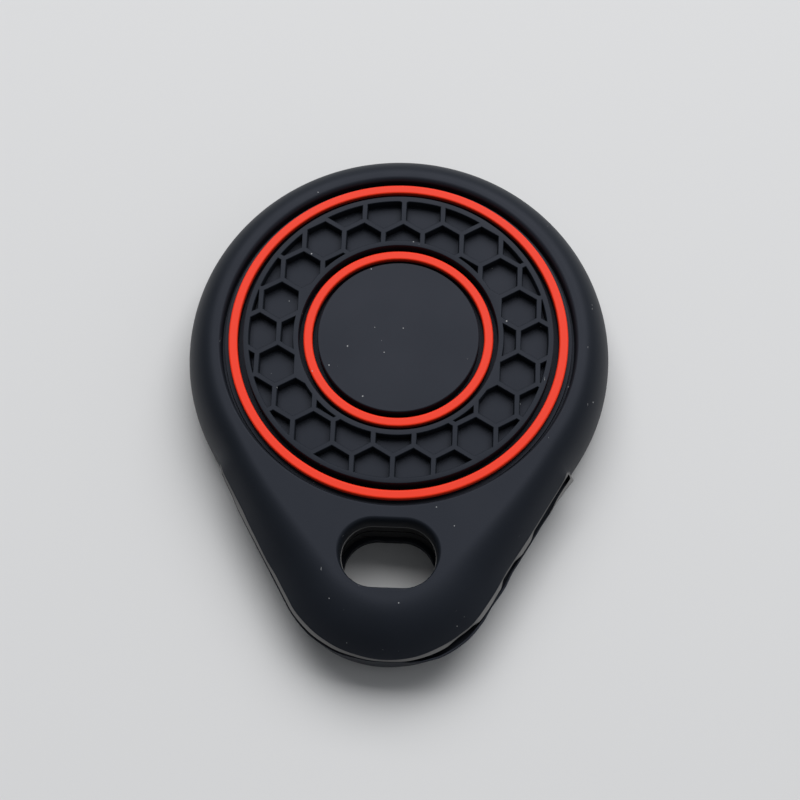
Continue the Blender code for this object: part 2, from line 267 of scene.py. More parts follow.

# Grain and slow drift. LINE_FADE is the share of a metal's plain tone between its lines and on them;
# the rest is a darker tone, painted shade in the lines' grooves.
GRAIN_SIZE = 0.15
DRIFT_SIZE = 6.0
NOISE_DETAIL = 3.0
TONE_DRIFT = 0.12
GLOSS_DRIFT = 0.08
METAL_GRAIN_SIZE = 0.3
METAL_TONES = (0.85, 1.1)
METAL_GLOSS_DRIFT = 0.1
GROOVE_SHADE_TONE = 0.4
LINE_FADE = (0.75, 1.0)

# Lint. The fibres are dots drawn out along one direction and bent a little.
LINT_SPACING = 1.5
LINT_RADIUS = 0.07
LINT_SHARE = 0.3
SMALLEST_LINT = 0.35
FIBRE_SCALE = (2.0, 0.1, 2.0)
FIBRE_TURN = (0.0, 0.0, 0.9)
FIBRE_REACH = 0.65
FIBRE_WANDER = 0.6
FIBRE_WANDER_SCALE = 0.8

# Floor, light and camera, in metres but for the camera's place. WORLD_SIDE points to the bright
# side of the surroundings, and their two strengths are those of the dim and the bright side.
FLOOR_COLOUR = (0.7, 0.708, 0.72)
FLOOR_ROUGHNESS = 0.9
FLOOR_SPECULAR = 0.1
FLOOR_SIZE = 4.0
FLOOR_HEIGHT = -0.00002
WORLD_COLOUR = (0.96, 0.98, 1.0)
WORLD_SIDE = (0.77, 0.64, 0.0)
WORLD_LIGHT = (0.05, 0.48)
WORLD_LOOK = (0.08, 0.27)
LAMP_PLACE = (0.05, 0.49, 0.69)
LAMP_SIZE = (1.0, 0.65)
LAMP_POWER = 8.25
LAMP_COLOUR = (1.0, 0.99, 0.98)
CAMERA_PLACE = (4.6, -66.95, 165.62)
CAMERA_BACK = (0.0247, -0.3593, 0.933)
CAMERA_UP = (-0.0362, 0.9323, 0.36)
CAMERA_LENS = 87.7
CAMERA_SENSOR = 36.0
CAMERA_CLIP_START = 0.01

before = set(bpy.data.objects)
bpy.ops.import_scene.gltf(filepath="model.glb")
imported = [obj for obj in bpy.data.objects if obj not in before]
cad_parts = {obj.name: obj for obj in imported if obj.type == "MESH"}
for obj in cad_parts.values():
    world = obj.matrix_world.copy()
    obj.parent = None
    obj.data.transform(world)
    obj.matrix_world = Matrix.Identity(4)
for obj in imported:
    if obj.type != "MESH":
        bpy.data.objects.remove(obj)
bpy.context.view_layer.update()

sleeve_low, sleeve_high = (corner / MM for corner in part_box("sleeve_body"))
sleeve_radius = sleeve_high.y
rim_top = sleeve_high.z
tip_y = sleeve_low.y
hinge_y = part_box("mouth_lip")[1].y / MM
tip_centre_y = tip_y + TIP_RADIUS
slit_start_y = hinge_y + SLIT_REACH
hole_y = hinge_y - HOLE_WEB - HOLE_WIDTH / 2
ring_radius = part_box("outer_ring")[1].x / MM
coil_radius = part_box("antenna_coil")[1].x / MM
former_radius = coil_radius - COIL_WIDTH - COIL_CLEARANCE


def smooth(share):
    """A share from 0 to 1 that starts and ends gently."""
    share = np.clip(share, 0.0, 1.0)
    return share * share * (3 - 2 * share)


def eased(table, shares):
    """Values that ease from one row of a table of (share, value) to the next."""
    places, values = np.array(table).T
    row = np.clip(np.searchsorted(places, shares, side="right") - 1, 0, len(places) - 2)
    part = smooth((shares - places[row]) / (places[row + 1] - places[row]))
    return values[row] + (values[row + 1] - values[row]) * part


def arc(radius, centre, start, end, steps):
    """Points on an arc without its last one, and the directions in to its centre."""
    angles = start + (end - start) * np.arange(steps) / steps
    outward = np.stack([np.cos(angles), np.sin(angles)], axis=1)
    return np.array(centre) + radius * outward, -outward


def straight(first, last, inward, steps):
    """Points on a straight side without its last one, and the direction inwards."""
    shares = np.arange(steps)[:, None] / steps
    points = np.array(first) * (1 - shares) + np.array(last) * shares
    return points, np.tile(inward, (steps, 1))


class SleeveEdge:
    """The sleeve's teardrop edge: its points, anticlockwise, and the way inwards at each."""

    def __init__(self):
        slope = math.asin((sleeve_radius - TIP_RADIUS) / -tip_centre_y)
        left = math.pi + slope
        tip_centre = (0.0, tip_centre_y)
        round_end = arc(sleeve_radius, (0.0, 0.0), -slope, left, ROUND_STEPS)
        tip_end = arc(TIP_RADIUS, tip_centre, left, 2 * math.pi - slope, TIP_STEPS)
        left_in = np.array([math.cos(slope), math.sin(slope)])
        right_in = left_in * (-1, 1)
        left_start = -sleeve_radius * left_in
        right_end = -sleeve_radius * right_in
        right_start = tip_centre - TIP_RADIUS * right_in
        left_side = straight(left_start, tip_end[0][0], left_in, SIDE_STEPS)
        right_side = straight(right_start, right_end, right_in, SIDE_STEPS)
        parts = [round_end, left_side, tip_end, right_side]
        self.points = np.concatenate([points for points, _ in parts])
        self.inward = np.concatenate([inward for _, inward in parts])
        self.share = self.mouth_shares()
        nose = smooth((NOSE_START_Y - self.points[:, 1]) / (NOSE_START_Y - tip_y))
        self.crown_width = CROWN_WIDTH + (NOSE_CROWN_WIDTH - CROWN_WIDTH) * nose
        self.opening = eased(MOUTH_OPENING, self.share)
        self.tray_opening = eased(TRAY_OPENING, self.share)

    def mouth_shares(self):
        """How far along the mouth each point lies. It is below 0 or above 1 outside the mouth."""
        steps = np.linalg.norm(np.roll(self.points, -1, axis=0) - self.points, axis=1)
        run = np.concatenate([[0.0], np.cumsum(steps)])
        whole, run = run[-1], run[:-1]
        below = self.points[:, 1] < slit_start_y
        first = run[below][0]
        last = run[below][-1]
        run = np.where(run < first / 2, run + whole, run)
        return (last - run) / (last - first)

    def inset(self, distance):
        """The edge drawn in by one distance, or by one for each point."""
        return self.points + self.inward * np.reshape(distance, (-1, 1))

    def facing_circle(self, radius):
        """A circle with a point in the direction of each point of the edge."""
        return self.points * (radius / np.linalg.norm(self.points, axis=1))[:, None]

    def crown_inset(self, height):
        """How far in the crown's surface is at a height."""
        rise = (height - WAIST_HEIGHT) / (rim_top - WAIST_HEIGHT)
        return self.crown_width * (1 - np.sqrt(1 - rise**2))

    def flared(self, inset, height):
        """An inset of the tray's wall after its rim is spread outwards along the mouth."""
        heights, shares = np.array(FLARE).T
        share = self.tray_opening * np.interp(height, heights, shares)
        return inset * (1 - share) - eased(TRAY_RIM, self.share) * share


def circle(radius, steps=RING_STEPS):
    """A circle about the Z axis, anticlockwise."""
    return arc(radius, (0.0, 0.0), 0.0, 2 * math.pi, steps)[0]


def stadium(step, length=HOLE_LENGTH, width=HOLE_WIDTH):
    """The keyring hole, drawn wider by step on each side, anticlockwise."""
    radius = width / 2 + step
    half = (length - width) / 2
    quarter = math.pi / 2
    right, _ = arc(radius, (half, hole_y), -quarter, quarter, HOLE_END_STEPS)
    left, _ = arc(radius, (-half, hole_y), quarter, 3 * quarter, HOLE_END_STEPS)
    top, _ = straight((half, hole_y + radius), (-half, hole_y + radius), (0, -1), HOLE_SIDE_STEPS)
    foot, _ = straight((-half, hole_y - radius), (half, hole_y - radius), (0, 1), HOLE_SIDE_STEPS)
    return np.concatenate([right, top, left, foot])


def widened_hole(share, margin=0.0):
    """The keyring hole drawn wider by a share of its roll, which is narrower towards the tip."""
    edge = stadium(0.0)
    outward = stadium(1.0) - edge
    above = smooth((edge[:, 1:] - hole_y + HOLE_ROLL_CHANGE) / (2 * HOLE_ROLL_CHANGE))
    width = HOLE_ROLL_WIDTH_BELOW + (HOLE_ROLL_WIDTH - HOLE_ROLL_WIDTH_BELOW) * above
    return edge + outward * (width * share + margin)


def inside(points, loop):
    """Which points lie inside a closed loop."""
    x, y = points[:, 0, None], points[:, 1, None]
    x1, y1 = loop[:, 0], loop[:, 1]
    x2, y2 = np.roll(x1, -1), np.roll(y1, -1)
    spans = (y1 > y) != (y2 > y)
    run = np.where(y2 == y1, 1.0, y2 - y1)
    side_x = x1 + (y - y1) * (x2 - x1) / run
    return (spans & (x < side_x)).sum(axis=1) % 2 == 1


def clear_of(points, loop, distance):
    """Which points keep a distance from every point of a loop."""
    gaps = np.linalg.norm(points[:, None] - loop[None], axis=2)
    return gaps.min(axis=1) > distance


def spread_points(outer, holes, spacing):
    """Points on an even triangular grid, clear of the loops around them."""
    low, high = outer.min(axis=0), outer.max(axis=0)
    row_step = spacing * math.sqrt(3) / 2
    rows = np.arange(low[1], high[1], row_step)
    columns = np.arange(low[0], high[0], spacing)
    grid = np.array([(x + spacing / 2 * (k % 2), y) for k, y in enumerate(rows) for x in columns])
    grid = grid[inside(grid, outer)]
    for loop in (outer, *holes):
        grid = grid[clear_of(grid, loop, spacing * POINT_CLEARANCE)]
    for loop in holes:
        grid = grid[~inside(grid, loop)]
    return grid


class Skin:
    """A closed mesh made of loops of points, the bands between them and the flats they border."""

    def __init__(self):
        self.solid = bmesh.new()

    def loop(self, points, height):
        """A closed loop at one height, or with a height for each point."""
        heights = np.broadcast_to(height, len(points))
        return [self.solid.verts.new((x, y, z)) for (x, y), z in zip(points, heights)]

    def band(self, first, second, marked=False):
        """Quads between two loops. marked, for all or for each, gives them the second material."""
        marks = np.broadcast_to(marked, len(first))
        for k, mark in enumerate(marks):
            n = (k + 1) % len(first)
            face = self.solid.faces.new((first[k], first[n], second[n], second[k]))
            face.material_index = int(mark)

    def bands(self, loops, marked=False):
        """Quads through a row of loops."""
        for first, second in zip(loops, loops[1:]):
            self.band(first, second, marked)

    def cap(self, loop):
        """One flat face over a loop without holes."""
        self.solid.faces.new(loop)

    def flat(self, outer, holes, spacing=None):
        """Triangles over the flat between a loop and the holes in it."""
        borders = [np.array([vertex.co.xy for vertex in loop]) for loop in (outer, *holes)]
        vertices = [vertex for loop in (outer, *holes) for vertex in loop]
        edges = []
        start = 0
        for border in borders:
            count = len(border)
            edges += [(start + k, start + (k + 1) % count) for k in range(count)]
            start += count
        places = np.concatenate(borders)
        if spacing:
            extra = spread_points(borders[0], borders[1:], spacing)
            vertices += [self.solid.verts.new((x, y, outer[0].co.z)) for x, y in extra]
            places = np.concatenate([places, extra])
        points = [Vector(place) for place in places]
        corners, _, triangles, sources, _, _ = delaunay_2d_cdt(points, edges, [], 0, MERGE_DISTANCE)
        corners = np.array([tuple(corner) for corner in corners])
        triangles = np.array(triangles)
        middles = corners[triangles].mean(axis=1)
        kept = inside(middles, borders[0])
        for border in borders[1:]:
            kept &= ~inside(middles, border)
        for triangle in triangles[kept]:
            self.solid.faces.new([vertices[sources[k][0]] for k in triangle])

    def finish(self, name, materials):
        """Turn the mesh into an object, in metres."""
        bmesh.ops.recalc_face_normals(self.solid, faces=self.solid.faces)
        bmesh.ops.scale(self.solid, vec=(MM, MM, MM), verts=self.solid.verts)
        mesh = bpy.data.meshes.new(name)
        self.solid.to_mesh(mesh)
        self.solid.free()
        for material in materials:
            mesh.materials.append(material)
        mesh.shade_smooth()
        mesh.set_sharp_from_angle(angle=SMOOTH_ANGLE)
        piece = bpy.data.objects.new(name, mesh)
        bpy.context.scene.collection.objects.link(piece)
        return piece


def add_node(tree, kind, inputs=None, **settings):
    """Add a node. inputs gives values, or sockets to link, by socket name or number."""
    node = tree.nodes.new(kind)
    for name, value in settings.items():
        setattr(node, name, value)
    for key, value in (inputs or {}).items():
        if isinstance(value, bpy.types.NodeSocket):
            tree.links.new(value, node.inputs[key])
        else:
            node.inputs[key].default_value = value
    return node


def maths(tree, operation, first, second=0.0):
    """The output of one Math node."""
    return add_node(tree, "ShaderNodeMath", {0: first, 1: second}, operation=operation).outputs[0]


def vector_maths(tree, operation, *terms, output="Vector"):
    """One output of one Vector Math node."""
    node = add_node(tree, "ShaderNodeVectorMath", dict(enumerate(terms)), operation=operation)
    return node.outputs[output]


def mixed(tree, share, first, second):
    """The output of one colour mix."""
    node = add_node(tree, "ShaderNodeMix", {0: share, 6: first, 7: second}, data_type="RGBA")
    return node.outputs[2]


def spread_between(tree, share, low, high):
    """A share turned into a value between two others."""
    return add_node(tree, "ShaderNodeMapRange", {0: share, 3: low, 4: high}).outputs[0]


def new_group(name, inputs, outputs):
    """Start a shader node group and return its tree, its input node and its output node."""
    tree = bpy.data.node_groups.new(name, "ShaderNodeTree")
    for label, value in inputs.items():
        socket = tree.interface.new_socket(label, in_out="INPUT", socket_type="NodeSocketFloat")
        socket.default_value = value
    for label in outputs:
        tree.interface.new_socket(label, in_out="OUTPUT", socket_type="NodeSocketFloat")
    return tree, add_node(tree, "NodeGroupInput"), add_node(tree, "NodeGroupOutput")


def place_group(tree, group, **values):
    """Place a node group in a material with its own values."""
    node = add_node(tree, "ShaderNodeGroup", node_tree=group)
    for label, value in values.items():
        node.inputs[label.replace("_", " ")].default_value = value
    return node


def make_grain_group():
    """Fine moulded grain, and a slow drift that varies tone and gloss."""
    sizes = {"Grain Size": GRAIN_SIZE, "Drift Size": DRIFT_SIZE}
    tree, given, result = new_group("moulded_grain", sizes, ("Grain", "Drift"))
    place = add_node(tree, "ShaderNodeTexCoord").outputs["Object"]
    for label in ("Grain", "Drift"):
        scale = maths(tree, "DIVIDE", 1 / MM, given.outputs[label + " Size"])
        inputs = {"Vector": place, "Scale": scale, "Detail": NOISE_DETAIL}
        noise = add_node(tree, "ShaderNodeTexNoise", inputs)
        tree.links.new(noise.outputs["Fac"], result.inputs[label])
    return tree


def make_lint_group():
    """Sparse dots and short fibres of lint, as silicone gathers them."""
    inputs = {"Spacing": LINT_SPACING, "Dot Radius": LINT_RADIUS, "Share": LINT_SHARE}
    tree, given, result = new_group("lint", inputs, ("Mask",))
    place = add_node(tree, "ShaderNodeTexCoord").outputs["Object"]
    scale = maths(tree, "DIVIDE", 1 / MM, given.outputs["Spacing"])
    reach = maths(tree, "DIVIDE", given.outputs["Dot Radius"], given.outputs["Spacing"])
    wander_inputs = {"Vector": place, "Scale": FIBRE_WANDER_SCALE / MM}
    wander = add_node(tree, "ShaderNodeTexNoise", wander_inputs)
    bend = (FIBRE_WANDER * MM,) * 3
    bent = vector_maths(tree, "MULTIPLY_ADD", wander.outputs["Color"], bend, place)
    turn = {"Vector": bent, "Rotation": FIBRE_TURN, "Scale": FIBRE_SCALE}
    along = add_node(tree, "ShaderNodeMapping", turn)
    fibre_reach = maths(tree, "MULTIPLY", reach, FIBRE_REACH)
    masks = []
    for where, limit, channel in ((place, reach, 0), (along.outputs[0], fibre_reach, 1)):
        cells = add_node(tree, "ShaderNodeTexVoronoi", {"Vector": where, "Scale": scale})
        lot = add_node(tree, "ShaderNodeSeparateColor", {0: cells.outputs["Color"]})
        size = spread_between(tree, lot.outputs[2], SMALLEST_LINT, 1.0)
        radius = maths(tree, "MULTIPLY", limit, size)
        near = maths(tree, "LESS_THAN", cells.outputs["Distance"], radius)
        drawn = maths(tree, "LESS_THAN", lot.outputs[channel], given.outputs["Share"])
        masks.append(maths(tree, "MULTIPLY", near, drawn))
    tree.links.new(maths(tree, "MAXIMUM", *masks), result.inputs["Mask"])
    return tree


grain_group = make_grain_group()
lint_group = make_lint_group()


def opaque(colour, tone=1.0):
    """A colour with full alpha, made lighter or darker by tone."""
    return (*(channel * tone for channel in colour), 1.0)


def moulded_material(
    name,
    colour,
    roughness,
    specular,
    grain_size,
    grain_depth,
    lint,
    drift=TONE_DRIFT,
    gloss_colour=PLAIN_GLOSS,
):
    """A moulded surface: fine grain, slow drift of tone and gloss, and some lint."""
    material = bpy.data.materials.new(name)
    material.use_nodes = True
    tree = material.node_tree
    shader = tree.nodes["Principled BSDF"]
    surface = place_group(tree, grain_group, Grain_Size=grain_size)
    specks = place_group(tree, lint_group, Share=lint).outputs["Mask"]
    slow = surface.outputs["Drift"]
    toned = mixed(tree, slow, opaque(colour, 1 - drift), opaque(colour, 1 + drift))
    dusted = mixed(tree, specks, toned, opaque(LINT_COLOUR))
    gloss = spread_between(tree, slow, roughness - GLOSS_DRIFT, roughness + GLOSS_DRIFT)
    height = maths(tree, "ADD", surface.outputs["Grain"], specks)
    bump = add_node(tree, "ShaderNodeBump", {"Height": height, "Distance": grain_depth * MM})
    tree.links.new(dusted, shader.inputs["Base Color"])
    tree.links.new(maths(tree, "MAXIMUM", gloss, specks), shader.inputs["Roughness"])
    tree.links.new(bump.outputs["Normal"], shader.inputs["Normal"])
    shader.inputs["Specular IOR Level"].default_value = specular
    shader.inputs["Specular Tint"].default_value = opaque(gloss_colour)
    return material


def metal_material(name, colour, roughness, line_pitch, line_depth):
    """A metal with fine lines round the Z axis, as a wound or turned surface has, with painted shade
    in their grooves.
    """
    material = bpy.data.materials.new(name)
    material.use_nodes = True
    tree = material.node_tree
    shader = tree.nodes["Principled BSDF"]
    slow = place_group(tree, grain_group, Grain_Size=METAL_GRAIN_SIZE).outputs["Drift"]
    place = add_node(tree, "ShaderNodeTexCoord").outputs["Object"]
    flat = vector_maths(tree, "MULTIPLY", place, (1.0, 1.0, 0.0))
    radius = vector_maths(tree, "LENGTH", flat, output="Value")
    phase = maths(tree, "MULTIPLY", radius, 2 * math.pi / (line_pitch * MM))
    lines = maths(tree, "SINE", phase)
    fade = spread_between(tree, lines, *LINE_FADE)
    toned = mixed(tree, slow, *(opaque(colour, tone) for tone in METAL_TONES))
    groove_shaded = mixed(tree, fade, opaque(colour, GROOVE_SHADE_TONE), toned)
    gloss = spread_between(tree, slow, roughness - METAL_GLOSS_DRIFT, roughness + METAL_GLOSS_DRIFT)
    bump = add_node(tree, "ShaderNodeBump", {"Height": lines, "Distance": line_depth * MM})
    tree.links.new(groove_shaded, shader.inputs["Base Color"])
    tree.links.new(gloss, shader.inputs["Roughness"])
    tree.links.new(bump.outputs["Normal"], shader.inputs["Normal"])
    shader.inputs["Metallic"].default_value = 1.0
    return material


def black_silicone():
    """The sleeve's matt silicone, which gathers lint."""
    return moulded_material(
        "black_silicone",
        SILICONE_COLOUR,
        roughness=0.5,
        specular=0.2,
        grain_size=0.16,
        grain_depth=0.004,
        lint=0.9,
        gloss_colour=SILICONE_GLOSS,
    )


def cut_silicone_and_highlight():
    """Silicone on cut faces and thin edges, paler and duller than where it was moulded.

    Its pale grey is partly the cut and partly a painted highlight where light catches those edges.
    """
    return moulded_material(
        "cut_silicone_and_highlight",
        CUT_AND_HIGHLIGHT_COLOUR,
        roughness=0.8,
        specular=0.1,
        grain_size=0.12,
        grain_depth=0.01,
        lint=0.0,
    )


def orange_silicone():
    """The rings' bright layer."""
    return moulded_material(
        "orange_silicone",
        ORANGE_COLOUR,
        roughness=0.36,
        specular=0.14,
        grain_size=0.2,
        grain_depth=0.003,
        lint=0.1,
        drift=0.06,
    )


def satin_silicone():
    """The smoother silicone of the pad."""
    return moulded_material(
        "satin_silicone",
        SATIN_COLOUR,
        roughness=0.45,
        specular=0.2,
        grain_size=0.1,
        grain_depth=0.001,
        lint=0.9,
        gloss_colour=SILICONE_GLOSS,
    )


def tag_plastic():
    """The tag's moulded case."""
    return moulded_material(
        "tag_plastic",
        PLASTIC_COLOUR,
        roughness=0.4,
        specular=0.15,
        grain_size=0.25,
        grain_depth=0.004,
        lint=0.1,
    )


def black_resin():
    """The hard drop over the chip."""
    return moulded_material(
        "black_resin",
        RESIN_COLOUR,
        roughness=0.25,
        specular=0.5,
        grain_size=0.4,
        grain_depth=0.002,
        lint=0.0,
    )


def green_board():
    """The lacquered board."""
    return moulded_material(
        "green_board",
        BOARD_COLOUR,
        roughness=0.45,
        specular=0.5,
        grain_size=0.3,
        grain_depth=0.004,
        lint=0.0,
    )


def copper_wire():
    """The coil's wound wire."""
    return metal_material(
        "copper_wire", COPPER_COLOUR, roughness=0.35, line_pitch=0.12, line_depth=0.03
    )


def bright_solder():
    """The solder of the two joints."""
    return metal_material("solder", SOLDER_COLOUR, roughness=0.3, line_pitch=0.5, line_depth=0.004)


def round_over(start, width, depth, steps):
    """(distance, drop) pairs from a flat's edge over a rounding, the flat's edge first."""
    turns = [math.pi / 2 * step / steps for step in range(steps + 1)]
    return [(start + width * (1 - math.sin(turn)), depth * (1 - math.cos(turn))) for turn in turns]


def recess_section(edge):
    """(radius, height) from the face in to the recess floor, by a roll, a gutter and a ledge.

    The gutter nearly closes and the roll narrows towards the keyring end.
    """
    away = edge.points[:, 1] / np.linalg.norm(edge.points, axis=1)
    gutter_share = LEAST_GUTTER + (1 - LEAST_GUTTER) * smooth((away + 1) / GUTTER_CLOSING)
    gutter_width = GUTTER_WIDTH * gutter_share
    gutter_floor = LEDGE_HEIGHT - GUTTER_DEPTH * gutter_share
    roll_width = RIM_ROLL_WIDTH * (1 + RIM_ROLL_CHANGE * away)
    ledge_edge = ring_radius + LEDGE_WIDTH
    gutter_edge = ledge_edge + gutter_width
    over = round_over(gutter_edge, roll_width, RIM_ROLL_DEPTH, ROLL_STEPS)
    section = [(gutter_edge + roll_width + HOLD, rim_top)]
    section += [(radius, rim_top - drop) for radius, drop in over]
    section += [
        (gutter_edge - GUTTER_SLOPE * gutter_width, gutter_floor),
        (ledge_edge + GUTTER_SLOPE * gutter_width, gutter_floor),
        (ledge_edge, LEDGE_HEIGHT),
        (ring_radius + RING_CLEARANCE, LEDGE_HEIGHT),
        (ring_radius + RING_CLEARANCE, RECESS_FLOOR),
    ]
    return section


def crown_loops(skin, edge):
    """Loops from the flat face over the crown, down to where the lip is cut."""
    cut_height = PARTING_HEIGHT + SEAM_STRIP
    cut_height = cut_height + (LIP_CUT_HEIGHT - cut_height) * edge.opening
    full_rise = rim_top - WAIST_HEIGHT
    full_turn = np.arccos((cut_height - WAIST_HEIGHT) / full_rise)
    corner_inset = edge.crown_width * (1 - np.sin(full_turn))
    push = (eased(LIP_CORNER, edge.share) + corner_inset) * eased(CROWN_SPREAD, edge.share)
    loops = [skin.loop(edge.inset(edge.crown_width + FACE_MARGIN), rim_top)]
    for step in range(CROWN_STEPS + 1):
        share = step / CROWN_STEPS
        turn = full_turn * share
        inset = edge.crown_width * (1 - np.sin(turn)) - push * share**SPREAD_POWER
        loops.append(skin.loop(edge.inset(inset), WAIST_HEIGHT + full_rise * np.cos(turn)))
    return loops


def lip_edge_loop(skin, edge):
    """The edge in which the front skin ends, lifted and waved along the mouth."""
    closed_inset = edge.crown_inset(PARTING_HEIGHT)
    inset = closed_inset + (-eased(LIP_EDGE, edge.share) - closed_inset) * edge.opening
    height = PARTING_HEIGHT + (LIP_HEIGHT - PARTING_HEIGHT) * edge.opening
    return skin.loop(edge.inset(inset), height)


def add_recess(skin, edge):
    """The recess for the rings. Returns its edge in the face."""
    rim = [skin.loop(edge.facing_circle(radius), height) for radius, height in recess_section(edge)]
    skin.bands(rim)
    skin.cap(rim[-1])
    return rim[0]


def add_front_hole(skin):
    """The keyring hole in the front skin. Returns its edges in the face and in the roof."""
    hole = [skin.loop(widened_hole(1.0, HOLD), rim_top)]
    for share, drop in round_over(0.0, 1.0, HOLE_ROLL_DEPTH, ROLL_STEPS):
        hole.append(skin.loop(widened_hole(share), rim_top - drop))
    skin.bands(hole)
    # A small step at the foot of the roll is painted pale, a painted highlight along the hole's lip.
    highlight_step = skin.loop(stadium(-HOLE_HIGHLIGHT_STEP), rim_top - HOLE_ROLL_DEPTH - HOLE_HIGHLIGHT_STEP)
    skin.band(hole[-1], highlight_step, marked=True)
    foot = skin.loop(stadium(0.0), ROOF_HEIGHT)
    skin.band(highlight_step, foot)
    return hole[0], foot


def roof_loops(skin, edge):
    """Loops from the slit over the rounding round the cavity, up to its roof."""
    wall_foot = SLIT_ROOM * edge.opening
    start = np.arcsin(wall_foot / CAVITY_EDGE)
    loops = []
    for step in range(CAVITY_STEPS + 1):
        turn = start + (math.pi / 2 - start) * step / CAVITY_STEPS
        inset = SIDE_WALL + CAVITY_EDGE * (1 - np.cos(turn))
        loops.append(skin.loop(edge.inset(inset), PARTING_HEIGHT + CAVITY_EDGE * np.sin(turn)))
    return loops


def make_front_skin(materials):
    """The decorated side of the sleeve, with the recess, the keyring hole and the lip."""
    edge = SleeveEdge()
    skin = Skin()
    crown = crown_loops(skin, edge)
    skin.bands(crown)
    lip = lip_edge_loop(skin, edge)
    # Where the mouth is open the lip's cut face is pale grey: partly the cut, partly a painted
    # highlight.
    in_mouth = edge.opening > HALF_OPEN
    skin.band(crown[-1], lip, marked=in_mouth)
    recess_edge = add_recess(skin, edge)
    hole_edge, hole_foot = add_front_hole(skin)
    skin.flat(crown[0], [recess_edge, hole_edge], spacing=FACE_SPACING)
    roof = roof_loops(skin, edge)
    skin.bands([lip, *roof])
    skin.flat(roof[-1], [hole_foot], spacing=FACE_SPACING)
    return skin.finish("front_skin", materials)


def tray_wall_loops(skin, edge):
    """Loops from below the tray's rim down its wall and round to the flat back."""
    loops = []
    for height in FLARE_LOOPS:
        loops.append(skin.loop(edge.inset(edge.flared(edge.crown_inset(height), height)), height))
    for distance, drop in round_over(0.0, BACK_ROUND, WAIST_HEIGHT, BACK_STEPS)[::-1]:
        loops.append(skin.loop(edge.inset(edge.flared(distance, drop)), drop))
    loops.append(skin.loop(edge.inset(BACK_ROUND + FACE_MARGIN), 0.0))
    return loops


def tray_cavity_loops(skin, edge, shelf_inset):
    """Loops from inside the tray's rim down a groove and round to the cavity's floor."""
    groove = PARTING_HEIGHT - GROOVE_DEPTH * edge.opening
    sides = (shelf_inset + GROOVE_SLOPE, SIDE_WALL)
    loops = [skin.loop(edge.inset(side), groove) for side in sides]
    for distance, drop in round_over(0.0, CAVITY_EDGE, CAVITY_EDGE, CAVITY_STEPS)[::-1]:
        loops.append(skin.loop(edge.inset(SIDE_WALL + distance), BACK_WALL + drop))
    return loops


def back_hole_loops(skin):
    """Loops from the flat back through the keyring hole to the cavity's floor."""
    size = (BACK_HOLE_LENGTH, BACK_HOLE_WIDTH)
    loops = [skin.loop(stadium(BACK_HOLE_ROUND + FACE_MARGIN, *size), 0.0)]
    for distance, drop in round_over(0.0, BACK_HOLE_ROUND, BACK_HOLE_ROUND, EDGE_STEPS):
        loops.append(skin.loop(stadium(distance, *size), drop))
    loops.append(skin.loop(stadium(0.0, *size), BACK_WALL - FACE_MARGIN))
    loops.append(skin.loop(stadium(FACE_MARGIN, *size), BACK_WALL))
    return loops


def make_back_skin(materials):
    """The plain side of the sleeve, a tray whose rim flares out along the mouth."""
    edge = SleeveEdge()
    skin = Skin()
    turn_radius = np.maximum(eased(RIM_TURN, edge.share) * edge.opening, LEAST_TURN)
    rim_inset = edge.flared(edge.crown_inset(PARTING_HEIGHT), PARTING_HEIGHT)
    shelf_inset = rim_inset + turn_radius + eased(SHELF_WIDTH, edge.share)
    rim = [skin.loop(edge.inset(shelf_inset), PARTING_HEIGHT)]
    for distance, drop in round_over(0.0, 1.0, 1.0, EDGE_STEPS):
        inset = rim_inset + turn_radius * distance
        rim.append(skin.loop(edge.inset(inset), PARTING_HEIGHT - turn_radius * drop))
    # Near the slit's right end the rim is pale grey: partly the duller cut, partly a painted
    # highlight.
    near_slit_end = (edge.share < PALE_RIM_SHARE) & (edge.tray_opening > 0)
    skin.bands(rim, marked=near_slit_end)
    wall = tray_wall_loops(skin, edge)
    skin.bands([rim[-1], *wall])
    cavity = tray_cavity_loops(skin, edge, shelf_inset)
    skin.bands([rim[0], *cavity])
    hole = back_hole_loops(skin)
    skin.bands(hole)
    skin.flat(wall[-1], [hole[0]])
    skin.flat(cavity[-1], [hole[-1]])
    return skin.finish("back_skin", materials)


def make_sleeve(materials):
    """The sleeve's two skins. The front one also covers the lip below the rings."""
    front = make_front_skin(materials)
    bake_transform(front)
    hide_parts("mouth_lip", "sleeve_body")
    back = make_back_skin(materials)
    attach(back, "sleeve")
    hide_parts("sleeve_body")


def make_ring(node, materials):
    """One of the rings, a coloured layer with rounded edges on a black foot."""
    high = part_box(node)[1] / MM
    radius = high.x
    bore = radius - RING_WIDTH
    layer = high.z - RING_COLOUR_DEPTH
    foot = RECESS_FLOOR + INLAY_FOOT
    over = round_over(0.0, RING_EDGE, RING_EDGE, EDGE_STEPS)[::-1]
    rows = [(radius, layer)]
    rows += [(radius - distance, high.z - drop) for distance, drop in over]
    rows += [(radius - RING_EDGE - HOLD, high.z), (bore + RING_EDGE + HOLD, high.z)]
    rows += [(bore + distance, high.z - drop) for distance, drop in over[::-1]]
    rows += [(bore, layer)]
    skin = Skin()
    coloured = [skin.loop(circle(r), z) for r, z in rows]
    skin.bands(coloured, marked=True)
    black = [skin.loop(circle(r), foot) for r in (bore, radius)]
    skin.bands([coloured[-1], *black, coloured[0]])
    piece = skin.finish(node + "_inlay", materials)
    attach(piece, "sleeve")
    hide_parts(node)


